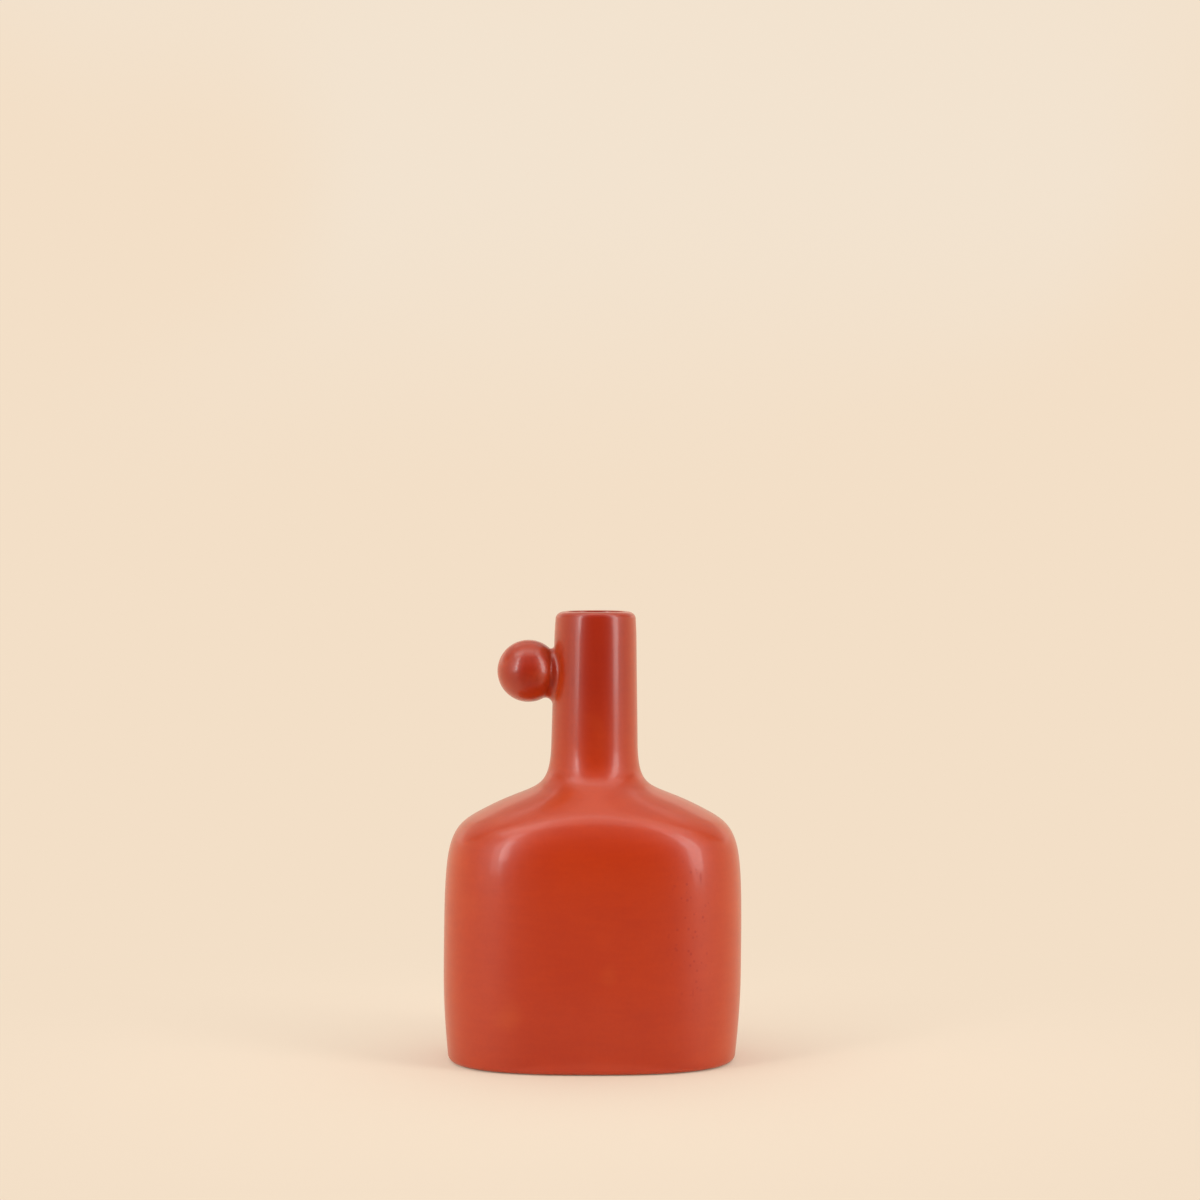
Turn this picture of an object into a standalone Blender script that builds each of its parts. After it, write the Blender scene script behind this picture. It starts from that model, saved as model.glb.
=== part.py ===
"""A bottle vase in one red ceramic.

A flattened flask with a squarish plan and soft shoulders carries a round neck. One ball is joined
to the side of the neck by a bead of slip.

Run with: blender --background --python part.py

Units are metres and +Z is up. The vase stands on z = 0, with the middle of its box over the
origin. Its broad front faces -Y, and the ball is at -X.
"""

import math

import bmesh
import bpy
import numpy as np
from mathutils import Matrix, Vector

MM = 0.001

# Body
BODY_WIDTH = 119.7 * MM
BODY_DEPTH = 86.0 * MM
BELLY_HEIGHT = 36.2 * MM
WALL = 5.0 * MM
# The plan's exponent: 2 is an ellipse, and a higher one is squarer.
SQUARENESS = 2.6
SQUARE_UP_TO = 88.0 * MM
ROUND_FROM = 110.0 * MM

# Foot
FOOT_WIDTH = 115.2 * MM
FOOT_DEPTH = 81.8 * MM
# The foot's flare would meet the upright side at this height.
FLARE_HEIGHT = 19.0 * MM
FOOT_ROUNDING = 2.4 * MM
FOOT_INNER_BREAK = 0.6 * MM
FOOT_RECESS = 1.5 * MM
BASE_THICKNESS = 5.0 * MM
BASE_EDGE_BREAK = 0.5 * MM

# Shoulder. Each straight slope starts this far inside the body's side or front, and this far
# under the height where the neck turns straight.
SHOULDER_RISE = 90.9 * MM
SIDE_SHOULDER_INSET = 17.4 * MM
SIDE_SHOULDER_DROP = 25.8 * MM
SIDE_SHOULDER_SLOPE = math.radians(27.5)
FRONT_SHOULDER_INSET = 9.7 * MM
FRONT_SHOULDER_DROP = 24.4 * MM
FRONT_SHOULDER_SLOPE = math.radians(39.8)
# How far the lower and upper ends of each rounding, at the shoulder's corner and at the neck's
# root, are drawn towards the corner that they round.
SIDE_CORNER_PULLS = (1.0, 1.0)
FRONT_CORNER_PULLS = (0.86, 1.0)
SIDE_ROOT_PULLS = (0.76, 1.6)
FRONT_ROOT_PULLS = (0.86, 1.22)

# Neck. It leans by this much sideways for each unit of height, as the whole vase does.
LEAN = 0.0096
COLLAR_HEIGHT = 116.0 * MM
NECK_WIDTH = 34.9 * MM
NECK_LENGTH = 52.9 * MM
NECK_BORE = 25.2 * MM
LIP_WIDTH = 32.8 * MM
LIP_ROUNDING = 2.8 * MM
LIP_INNER_ROUNDING = 1.1 * MM

# Ball and its bead of slip
BALL_DIAMETER = 25.1 * MM
BALL_DROP = 24.0 * MM
BALL_PRESS = 2.6 * MM
BEAD_RADIUS_BELOW = 2.8 * MM
BEAD_RADIUS_ABOVE = 1.3 * MM
BEAD_RADIUS_BESIDE = 1.1 * MM

# Between pieces
GAP = 0.3 * MM

# Fineness
ROUND_STEPS = 56
CURVE_STEPS = 80
BODY_RINGS = 25
NECK_RINGS = 7
ARC_STEPS = 5
BALL_STEPS = 36
BEAD_STEPS = 44
BEAD_ARC_STEPS = 5
SETTLE_STEPS = 6
# A metre of plain run gets as many rings as this many radians of turn.
TURN_OF_A_METRE = 8.0
SMOOTH_UP_TO = math.radians(38.0)
TINY = 1e-9

NECK_START = BELLY_HEIGHT + SHOULDER_RISE
HEIGHT = NECK_START + NECK_LENGTH

RED_GLAZE = (0.50, 0.045, 0.017, 1.0)
BARE_CLAY = (0.56, 0.33, 0.22, 1.0)
GLAZE_ROUGHNESS = 0.3
CLAY_ROUGHNESS = 0.85


def clear_scene():
    for thing in list(bpy.data.objects):
        bpy.data.objects.remove(thing, do_unlink=True)


def make_material(name, color, roughness):
    material = bpy.data.materials.new(name)
    material.use_nodes = True
    shader = material.node_tree.nodes["Principled BSDF"]
    shader.inputs["Base Color"].default_value = color
    shader.inputs["Roughness"].default_value = roughness
    shader.inputs["Metallic"].default_value = 0.0
    material.diffuse_color = color
    return material


def curve_points(start, first, second, end):
    """Points of a cubic curve from start to end, drawn towards two handles."""
    share = np.linspace(0.0, 1.0, CURVE_STEPS)[:, None]
    rest = 1.0 - share
    return (
        rest**3 * start
        + 3.0 * rest**2 * share * first
        + 3.0 * rest * share**2 * second
        + share**3 * end
    )


def outline(width, foot_width, inset, drop, slope, corner_pulls, root_pulls):
    """One side of the vase, floor to lip: reach from the axis, and height."""
    foot = np.array([foot_width / 2, 0.0])
    belly = np.array([width / 2, BELLY_HEIGHT])
    flare = np.array([width / 2, FLARE_HEIGHT])
    foot_curve = curve_points(foot, (foot + 2 * flare) / 3, (belly + 2 * flare) / 3, belly)

    rise = math.tan(slope)
    shoulder = np.array([width / 2 - inset, NECK_START - drop])
    corner = np.array([width / 2, shoulder[1] - inset * rise])
    first = belly + corner_pulls[0] * (corner - belly)
    second = shoulder + corner_pulls[1] * (corner - shoulder)
    shoulder_curve = curve_points(belly, first, second, shoulder)

    neck = np.array([NECK_WIDTH / 2, NECK_START])
    lip = np.array([LIP_WIDTH / 2, HEIGHT])
    taper = (neck[0] - lip[0]) / NECK_LENGTH
    slope_at_axis = shoulder[1] + shoulder[0] * rise
    root_reach = (neck[0] + taper * (NECK_START - slope_at_axis)) / (1.0 - taper * rise)
    root = np.array([root_reach, slope_at_axis - root_reach * rise])
    first = shoulder + root_pulls[0] * (root - shoulder)
    second = neck + root_pulls[1] * (root - neck)
    root_curve = curve_points(shoulder, first, second, neck)
    return np.vstack([foot_curve, shoulder_curve[1:], root_curve[1:], lip[None, :]])


def pushed_in(points, distance):
    """An outline moved square to itself, towards the axis."""
    along = np.gradient(points, axis=0)
    along /= np.linalg.norm(along, axis=1)[:, None]
    inward = np.column_stack([-along[:, 1], along[:, 0]])
    return points + distance * inward


SIDE = outline(
    BODY_WIDTH,
    FOOT_WIDTH,
    SIDE_SHOULDER_INSET,
    SIDE_SHOULDER_DROP,
    SIDE_SHOULDER_SLOPE,
    SIDE_CORNER_PULLS,
    SIDE_ROOT_PULLS,
)
FRONT = outline(
    BODY_DEPTH,
    FOOT_DEPTH,
    FRONT_SHOULDER_INSET,
    FRONT_SHOULDER_DROP,
    FRONT_SHOULDER_SLOPE,
    FRONT_CORNER_PULLS,
    FRONT_ROOT_PULLS,
)


def axis_at(height):
    """The vase's leaning axis. It stands over the origin at the belly, where the box is widest."""
    return LEAN * (height - BELLY_HEIGHT)


def exponent_at(height):
    """Squareness of the plan, which eases from the body's to a circle over the shoulder."""
    share = (ROUND_FROM - height) / (ROUND_FROM - SQUARE_UP_TO)
    share = min(max(share, 0.0), 1.0)
    return 2.0 + (SQUARENESS - 2.0) * share * share * (3.0 - 2.0 * share)


def plan_ring(height, half_width, half_depth, exponent):
    """One level ring of points round the axis."""
    ring = []
    for step in range(ROUND_STEPS):
        angle = 2.0 * math.pi * step / ROUND_STEPS
        across = abs(math.cos(angle) / half_width) ** exponent
        along = abs(math.sin(angle) / half_depth) ** exponent
        reach = (across + along) ** (-1.0 / exponent)
        x = axis_at(height) + reach * math.cos(angle)
        ring.append(Vector((x, reach * math.sin(angle), height)))
    return ring


def wall_ring(height, inset=0.0, cut=0.0):
    """A ring of the vase's wall, inset square to the outside and then cut back level."""
    sizes = []
    for points in (SIDE, FRONT):
        face = pushed_in(points, inset)
        sizes.append(float(np.interp(height, face[:, 1], face[:, 0])) - cut)
    return plan_ring(height, sizes[0], sizes[1], exponent_at(height))


def bore_ring(height, rounding=0.0):
    reach = NECK_BORE / 2 + rounding
    return plan_ring(height, reach, reach, 2.0)


def ring_heights(low, high, count):
    """Heights from low to high, closer together where the outlines turn."""
    heights = np.linspace(low, high, CURVE_STEPS)
    weight = np.zeros(CURVE_STEPS - 1)
    for points in (SIDE, FRONT):
        reach = np.interp(heights, points[:, 1], points[:, 0])
        rise, run = np.gradient(heights), np.gradient(reach)
        weight += np.abs(np.diff(np.arctan2(run, rise)))
        weight += TURN_OF_A_METRE * np.hypot(np.diff(heights), np.diff(reach))
    passed = np.concatenate([[0.0], np.cumsum(weight)])
    wanted = np.linspace(0.0, passed[-1], count)
    return [float(height) for height in np.interp(wanted, passed, heights)]


def quarter_turn(steps):
    """Shares across and up a quarter of a circle, from level to upright."""
    angles = [math.pi / 2 * step / steps for step in range(steps + 1)]
    return [(1.0 - math.sin(angle), 1.0 - math.cos(angle)) for angle in angles]


def loft(rings, closed):
    """A closed mesh through rings of equal counts: joined end to end, or capped at both ends."""
    mesh = bmesh.new()
    rows = [[mesh.verts.new(point) for point in ring] for ring in rings]
    pairs = list(zip(rows, rows[1:]))
    if closed:
        pairs.append((rows[-1], rows[0]))
    for low, high in pairs:
        count = len(low)
        for step in range(count):
            after = (step + 1) % count
            mesh.faces.new((low[step], low[after], high[after], high[step]))
    if not closed:
        mesh.faces.new(list(reversed(rows[0])))
        mesh.faces.new(rows[-1])
    bmesh.ops.recalc_face_normals(mesh, faces=mesh.faces)
    if mesh.calc_volume(signed=True) < 0.0:
        bmesh.ops.reverse_faces(mesh, faces=mesh.faces)
    return mesh


def add_object(name, mesh, parent, material=None):
    data = bpy.data.meshes.new(name)
    mesh.to_mesh(data)
    mesh.free()
    data.shade_smooth()
    data.set_sharp_from_angle(angle=SMOOTH_UP_TO)
    if material:
        data.materials.append(material)
    thing = bpy.data.objects.new(name, data)
    bpy.context.scene.collection.objects.link(thing)
    thing.parent = parent
    return thing


def make_body_shell(vase):
    """The hollow flask: foot rim, sides, shoulders and a short collar for the neck."""
    foot = [
        wall_ring(FOOT_ROUNDING * up, cut=FOOT_ROUNDING * across)
        for across, up in quarter_turn(ARC_STEPS)
    ]
    levels = ring_heights(FOOT_ROUNDING, COLLAR_HEIGHT, BODY_RINGS)
    outside = [wall_ring(height) for height in levels[1:]]
    inside = [wall_ring(height, inset=WALL) for height in reversed(levels)]
    inner_edge = [
        wall_ring(FOOT_INNER_BREAK, inset=WALL),
        wall_ring(0.0, inset=WALL, cut=-FOOT_INNER_BREAK),
    ]
    mesh = loft(foot + outside + inside + inner_edge, closed=True)
    glaze = make_material("body_glaze", RED_GLAZE, GLAZE_ROUGHNESS)
    return add_object("body_shell", mesh, vase, glaze)


def make_base_slab(vase):
    """The floor of the vase, set inside the wall just above the foot rim."""
    inset = WALL + GAP
    top = FOOT_RECESS + BASE_THICKNESS
    rings = [
        wall_ring(FOOT_RECESS, inset, cut=BASE_EDGE_BREAK),
        wall_ring(FOOT_RECESS + BASE_EDGE_BREAK, inset),
        wall_ring(top - BASE_EDGE_BREAK, inset),
        wall_ring(top, inset, cut=BASE_EDGE_BREAK),
    ]
    clay = make_material("bare_clay", BARE_CLAY, CLAY_ROUGHNESS)
    return add_object("base_slab", loft(rings, closed=False), vase, clay)


def make_neck_tube(vase):
    """The neck: it stands on the body's collar, and ends in a rounded lip."""
    bottom = COLLAR_HEIGHT + GAP
    lip_start = HEIGHT - LIP_ROUNDING
    outside = [wall_ring(height) for height in ring_heights(bottom, lip_start, NECK_RINGS)]
    lip = [
        wall_ring(lip_start + LIP_ROUNDING * (1.0 - across), cut=LIP_ROUNDING * up)
        for across, up in quarter_turn(ARC_STEPS)
    ]
    inner_start = HEIGHT - LIP_INNER_ROUNDING
    inner_lip = [
        bore_ring(inner_start + LIP_INNER_ROUNDING * (1.0 - across), LIP_INNER_ROUNDING * up)
        for across, up in reversed(quarter_turn(ARC_STEPS))
    ]
    bore = [bore_ring((bottom + inner_start) / 2), bore_ring(bottom)]
    mesh = loft(outside + lip[1:] + inner_lip + bore, closed=True)
    glaze = make_material("neck_glaze", RED_GLAZE, GLAZE_ROUGHNESS)
    return add_object("neck_tube", mesh, vase, glaze)


def neck_reach_at(height):
    return float(np.interp(height, SIDE[:, 1], SIDE[:, 0]))


def ball_centre():
    height = HEIGHT - BALL_DROP
    reach = neck_reach_at(height) + BALL_DIAMETER / 2 - BALL_PRESS
    return Vector((axis_at(height) - reach, 0.0, height))


def make_side_ball(vase):
    """A solid ball with a saddle cut in its side, which fits round the neck."""
    centre = ball_centre()
    mesh = bmesh.new()
    turned = Matrix.Translation(centre) @ Matrix.Rotation(math.pi / 2, 4, "Y")
    bmesh.ops.create_uvsphere(
        mesh,
        u_segments=BALL_STEPS,
        v_segments=BALL_STEPS // 2,
        radius=BALL_DIAMETER / 2,
        matrix=turned,
    )
    glaze = make_material("ball_glaze", RED_GLAZE, GLAZE_ROUGHNESS)
    ball = add_object("side_ball", mesh, vase, glaze)

    heights = [centre.z - BALL_DIAMETER, centre.z, centre.z + BALL_DIAMETER]
    rings = [wall_ring(height, inset=-GAP) for height in heights]
    cutter = add_object("neck_cutter", loft(rings, closed=False), vase)
    cutter.hide_render = True
    cutter.display_type = "WIRE"
    saddle = ball.modifiers.new("Saddle", "BOOLEAN")
    saddle.operation = "DIFFERENCE"
    saddle.solver = "EXACT"
    saddle.object = cutter
    return ball


def bead_radius(turn):
    """The bead's radius round the joint: turn is 0 on top and pi underneath."""
    upright = math.cos(turn)
    end = BEAD_RADIUS_ABOVE if upright > 0.0 else BEAD_RADIUS_BELOW
    return BEAD_RADIUS_BESIDE + (end - BEAD_RADIUS_BESIDE) * upright * upright


def rolled_centre(turn, radius, clearance):
    """Where a small ball of this radius rests against both the ball and the neck.

    The joint is looked at along X, and turn picks the direction from the ball's middle. The
    answer is the small ball's centre, and the point of the neck's axis beside it.
    """
    ball = ball_centre()
    sideways, upright = math.sin(turn), math.cos(turn)
    far = BALL_DIAMETER / 2 + clearance + radius
    height = ball.z
    for _ in range(SETTLE_STEPS):
        axis, reach = axis_at(height), neck_reach_at(height) + clearance
        span = axis - ball.x
        # Both distances hold at once: far from the ball's middle, reach + radius from the axis.
        square = 1.0 - sideways**2
        rest = span**2 + (sideways * far) ** 2 - (reach + radius) ** 2
        if square > TINY:
            inside = max(span**2 - square * rest, 0.0)
            forward = (span - math.sqrt(inside)) / square
        else:
            forward = rest / (2.0 * span)
        out = math.sqrt(max(far**2 - forward**2, 0.0))
        height = ball.z + out * upright
    centre = Vector((ball.x + forward, out * sideways, height))
    return centre, Vector((axis, 0.0, height))


def onto_ball(point, clearance):
    centre = ball_centre()
    return centre + (point - centre).normalized() * (BALL_DIAMETER / 2 + clearance)


def onto_neck(point, clearance):
    axis = Vector((axis_at(point.z), 0.0, point.z))
    return axis + (point - axis).normalized() * (neck_reach_at(point.z) + clearance)


def bead_section(turn):
    """One slice of the bead: a hollow rounding outside, and two faces that fit ball and neck."""
    radius = bead_radius(turn)
    middle, axis = rolled_centre(turn, radius, GAP)
    to_ball = (ball_centre() - middle).normalized()
    to_neck = (axis - middle).normalized()
    between = to_ball.angle(to_neck)
    arc = []
    for step in range(BEAD_ARC_STEPS + 1):
        share = step / BEAD_ARC_STEPS
        start = math.sin((1.0 - share) * between) / math.sin(between)
        end = math.sin(share * between) / math.sin(between)
        arc.append(middle + radius * (start * to_ball + end * to_neck))
    crease = rolled_centre(turn, 0.0, GAP)[0]
    neck_side = onto_neck((arc[-1] + crease) / 2, GAP)
    ball_side = onto_ball((arc[0] + crease) / 2, GAP)
    return arc + [neck_side, crease, ball_side]


def make_ball_slip_bead(vase):
    """The bead of slip pressed into the crease all round the joint, thickest underneath."""
    slices = [bead_section(2.0 * math.pi * step / BEAD_STEPS) for step in range(BEAD_STEPS)]
    glaze = make_material("bead_glaze", RED_GLAZE, GLAZE_ROUGHNESS)
    return add_object("ball_slip_bead", loft(slices, closed=True), vase, glaze)


def main():
    clear_scene()
    vase = bpy.data.objects.new("vase", None)
    bpy.context.scene.collection.objects.link(vase)
    make_body_shell(vase)
    make_base_slab(vase)
    make_neck_tube(vase)
    make_side_ball(vase)
    make_ball_slip_bead(vase)


main()
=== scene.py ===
"""The looks of the red bottle vase: fine glazed surfaces, bare foot, paper sweep, lights, camera.

Units are metres and +Z is up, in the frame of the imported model. The vase's broad front faces -Y.
"""

import math

import bmesh
import bpy
import numpy as np
from mathutils import Matrix, Vector, noise


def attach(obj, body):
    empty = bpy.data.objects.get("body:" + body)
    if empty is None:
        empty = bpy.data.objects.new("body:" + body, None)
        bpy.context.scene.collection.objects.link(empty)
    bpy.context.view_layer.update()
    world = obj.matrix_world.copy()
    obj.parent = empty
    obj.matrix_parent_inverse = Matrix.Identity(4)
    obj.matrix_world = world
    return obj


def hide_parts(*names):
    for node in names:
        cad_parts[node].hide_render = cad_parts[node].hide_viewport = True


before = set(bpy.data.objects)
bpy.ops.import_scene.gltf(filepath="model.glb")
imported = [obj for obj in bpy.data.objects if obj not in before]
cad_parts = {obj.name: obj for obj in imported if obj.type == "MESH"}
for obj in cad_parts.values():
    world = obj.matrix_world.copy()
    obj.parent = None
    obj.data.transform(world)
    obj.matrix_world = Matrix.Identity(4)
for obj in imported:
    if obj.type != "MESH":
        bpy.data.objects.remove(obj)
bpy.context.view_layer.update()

MM = 0.001

# The vase's outline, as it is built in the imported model, but for the two sizes marked below
BODY_WIDTH = 119.7 * MM
BODY_DEPTH = 86.0 * MM
BELLY_HEIGHT = 36.2 * MM
WALL = 5.0 * MM
# The plan's exponent: 2 gives a circle or an ellipse, and more is squarer.
ROUND = 2.0
SQUARENESS = 2.6
SQUARE_UP_TO = 88.0 * MM
ROUND_FROM = 110.0 * MM
FOOT_WIDTH = 115.2 * MM
FOOT_DEPTH = 81.8 * MM
FLARE_HEIGHT = 19.0 * MM
FOOT_ROUNDING = 2.4 * MM
FOOT_RECESS = 1.5 * MM
BASE_THICKNESS = 5.0 * MM
SHOULDER_RISE = 90.9 * MM
SIDE_SHOULDER_INSET = 17.4 * MM
SIDE_SHOULDER_DROP = 25.8 * MM
SIDE_SHOULDER_SLOPE = math.radians(27.5)
FRONT_SHOULDER_INSET = 9.7 * MM
FRONT_SHOULDER_DROP = 24.4 * MM
FRONT_SHOULDER_SLOPE = math.radians(39.8)
# How far the two handles of each curve reach towards its corner: 1 is all the way.
SIDE_CORNER_PULLS = (1.0, 1.0)
FRONT_CORNER_PULLS = (0.86, 1.0)
SIDE_ROOT_PULLS = (0.76, 1.6)
FRONT_ROOT_PULLS = (0.86, 1.22)
# The axis leans to the right by this share of the height over the belly.
LEAN = 0.0096
NECK_WIDTH = 34.9 * MM
NECK_LENGTH = 52.9 * MM
NECK_BORE = 25.2 * MM
LIP_WIDTH = 32.8 * MM
LIP_ROUNDING = 2.8 * MM
# How far the rounding reaches in from the side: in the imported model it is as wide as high.
LIP_REACH = 3.4 * MM
# The lip's rounding is squarer in front and behind: 1 is a circle's, and less is squarer.
SIDE_LIP_POWER = 1.0
FRONT_LIP_POWER = 0.6
LIP_INNER_ROUNDING = 0.75 * MM
BALL_DIAMETER = 25.1 * MM
BALL_DROP = 24.0 * MM
BALL_PRESS = 2.6 * MM
BEAD_RADIUS_BELOW = 2.8 * MM
BEAD_RADIUS_ABOVE = 1.3 * MM
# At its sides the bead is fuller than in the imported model.
BEAD_RADIUS_BESIDE = 2.9 * MM
# It lies this deep in the ball and the neck, and its hidden corners about this deep.
BEAD_SETTLE = 0.09 * MM
BEAD_SINK = 0.5 * MM

NECK_START = BELLY_HEIGHT + SHOULDER_RISE
HEIGHT = NECK_START + NECK_LENGTH

# The glaze stops just above the floor, and stands this proud of the bare foot.
GLAZE_LINE = 0.4 * MM
GLAZE_DEPTH = 0.18 * MM
FOOT_PIECE_TOP = 3.2 * MM
FOOT_INNER_ROUNDING = 1.2 * MM

# The neck eases inwards a little below its rounded lip.
LIP_EASE = 0.45 * MM
LIP_EASE_START = 168.0 * MM
# Its mouth is rolled in a little over the bore.
LIP_OVERHANG = 0.8 * MM
OVERHANG_HEIGHT = 9.0 * MM
# The first ring of the body's inside lies this far below the neck.
INSIDE_GAP = 2.0 * MM

# Hand-made unevenness of the glazed wall and of the ball, always inwards
UNEVEN_DEPTH = 0.10 * MM
UNEVEN_SIZE = 34.0 * MM
BALL_UNEVEN_SIZE = 9.0 * MM

# Fineness
ROUND_STEPS = 176
CURVE_STEPS = 160
OUTER_RINGS = 150
INNER_RINGS = 60
ARC_STEPS = 10
LIP_STEPS = 24
BALL_STEPS = 112
BEAD_STEPS = 160
BEAD_ARC_STEPS = 14
SETTLE_STEPS = 6
# Rings are spread by how much the wall turns, and a metre of its length counts as these radians.
TURN_OF_A_METRE = 8.0
TINY = 1e-9


def held(share):
    """A share kept between 0 and 1."""
    return min(max(share, 0.0), 1.0)


def smooth(share):
    """A share from 0 to 1, eased at both ends."""
    return share * share * (3.0 - 2.0 * share)


def curve_points(start, first, second, end):
    """Points of a cubic curve from start to end, drawn towards two handles."""
    share = np.linspace(0.0, 1.0, CURVE_STEPS)[:, None]
    rest = 1.0 - share
    return (
        rest**3 * start
        + 3.0 * rest**2 * share * first
        + 3.0 * rest * share**2 * second
        + share**3 * end
    )


def outline(width, foot_width, inset, drop, slope, corner_pulls, root_pulls):
    """One side of the vase, floor to lip: reach from the axis, and height."""
    foot = np.array([foot_width / 2, 0.0])
    belly = np.array([width / 2, BELLY_HEIGHT])
    flare = np.array([width / 2, FLARE_HEIGHT])
    foot_curve = curve_points(foot, (foot + 2 * flare) / 3, (belly + 2 * flare) / 3, belly)

    rise = math.tan(slope)
    shoulder = np.array([width / 2 - inset, NECK_START - drop])
    corner = np.array([width / 2, shoulder[1] - inset * rise])
    first = belly + corner_pulls[0] * (corner - belly)
    second = shoulder + corner_pulls[1] * (corner - shoulder)
    shoulder_curve = curve_points(belly, first, second, shoulder)

    neck = np.array([NECK_WIDTH / 2, NECK_START])
    lip = np.array([LIP_WIDTH / 2, HEIGHT])
    taper = (neck[0] - lip[0]) / NECK_LENGTH
    height_at_axis = shoulder[1] + shoulder[0] * rise
    root_reach = (neck[0] + taper * (NECK_START - height_at_axis)) / (1.0 - taper * rise)
    root = np.array([root_reach, height_at_axis - root_reach * rise])
    first = shoulder + root_pulls[0] * (root - shoulder)
    second = neck + root_pulls[1] * (root - neck)
    root_curve = curve_points(shoulder, first, second, neck)
    return np.vstack([foot_curve, shoulder_curve[1:], root_curve[1:], lip[None, :]])


def pushed_in(points, distance):
    """An outline moved square to itself, towards the axis."""
    along = np.gradient(points, axis=0)
    along /= np.linalg.norm(along, axis=1)[:, None]
    inward = np.column_stack([-along[:, 1], along[:, 0]])
    return points + distance * inward


SIDE = outline(
    BODY_WIDTH,
    FOOT_WIDTH,
    SIDE_SHOULDER_INSET,
    SIDE_SHOULDER_DROP,
    SIDE_SHOULDER_SLOPE,
    SIDE_CORNER_PULLS,
    SIDE_ROOT_PULLS,
)
FRONT = outline(
    BODY_DEPTH,
    FOOT_DEPTH,
    FRONT_SHOULDER_INSET,
    FRONT_SHOULDER_DROP,
    FRONT_SHOULDER_SLOPE,
    FRONT_CORNER_PULLS,
    FRONT_ROOT_PULLS,
)


def axis_at(height):
    return LEAN * (height - BELLY_HEIGHT)


def exponent_at(height):
    """Squareness of the plan, which eases from the body's to a circle over the shoulder."""
    share = held((ROUND_FROM - height) / (ROUND_FROM - SQUARE_UP_TO))
    return ROUND + (SQUARENESS - ROUND) * smooth(share)


def plan_ring(height, half_width, half_depth, exponent):
    """One level ring of points round the axis."""
    ring = []
    for step in range(ROUND_STEPS):
        angle = 2.0 * math.pi * step / ROUND_STEPS
        across = abs(math.cos(angle) / half_width) ** exponent
        along = abs(math.sin(angle) / half_depth) ** exponent
        reach = (across + along) ** (-1.0 / exponent)
        x = axis_at(height) + reach * math.cos(angle)
        ring.append(Vector((x, reach * math.sin(angle), height)))
    return ring


def wall_ring(height, inset=0.0, cut=0.0):
    """A ring of the vase's wall, inset square to the outside and then cut back level."""
    sizes = []
    for points in (SIDE, FRONT):
        face = pushed_in(points, inset)
        sizes.append(float(np.interp(height, face[:, 1], face[:, 0])) - cut)
    return plan_ring(height, sizes[0], sizes[1], exponent_at(height))


def bore_ring(height, rounding=0.0):
    reach = NECK_BORE / 2 + rounding
    return plan_ring(height, reach, reach, ROUND)


def blended_ring(first, second, share):
    return [a.lerp(b, share) for a, b in zip(first, second)]


def ring_heights(low, high, count):
    """Heights from low to high, closer together where the outlines turn."""
    heights = np.linspace(low, high, CURVE_STEPS)
    weight = np.zeros(CURVE_STEPS - 1)
    for points in (SIDE, FRONT):
        reach = np.interp(heights, points[:, 1], points[:, 0])
        rise, run = np.gradient(heights), np.gradient(reach)
        weight += np.abs(np.diff(np.arctan2(run, rise)))
        weight += TURN_OF_A_METRE * np.hypot(np.diff(heights), np.diff(reach))
    passed = np.concatenate([[0.0], np.cumsum(weight)])
    wanted = np.linspace(0.0, passed[-1], count)
    return [float(height) for height in np.interp(wanted, passed, heights)]


def quarter_turn(steps):
    """Shares across and up a quarter of a circle, from level to upright."""
    angles = [math.pi / 2 * step / steps for step in range(steps + 1)]
    return [(1.0 - math.sin(angle), 1.0 - math.cos(angle)) for angle in angles]


def shrunk_rings(ring, count):
    """Smaller copies of a level ring, down to nearly its middle, for an even cap."""
    middle = sum(ring, Vector()) / len(ring)
    shares = [step / count for step in range(1, count)]
    return [[point.lerp(middle, share) for point in ring] for share in shares]


def loft(rings, closed):
    """A closed mesh through rings of equal counts: joined end to end, or capped at both ends."""
    mesh = bmesh.new()
    rows = [[mesh.verts.new(point) for point in ring] for ring in rings]
    pairs = list(zip(rows, rows[1:]))
    if closed:
        pairs.append((rows[-1], rows[0]))
    for low, high in pairs:
        count = len(low)
        for step in range(count):
            after = (step + 1) % count
            mesh.faces.new((low[step], low[after], high[after], high[step]))
    if not closed:
        mesh.faces.new(list(reversed(rows[0])))
        mesh.faces.new(rows[-1])
    bmesh.ops.recalc_face_normals(mesh, faces=mesh.faces)
    if mesh.calc_volume(signed=True) < 0.0:
        bmesh.ops.reverse_faces(mesh, faces=mesh.faces)
    return mesh


def add_object(name, mesh, material):
    data = bpy.data.meshes.new(name)
    mesh.to_mesh(data)
    mesh.free()
    data.materials.append(material)
    thing = bpy.data.objects.new(name, data)
    bpy.context.scene.collection.objects.link(thing)
    return thing


def add_piece(name, mesh, material, slot, *nodes):
    piece = add_object(name, mesh, material)
    piece.data.shade_smooth()
    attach(piece, "root")
    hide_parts(*nodes)


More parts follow.
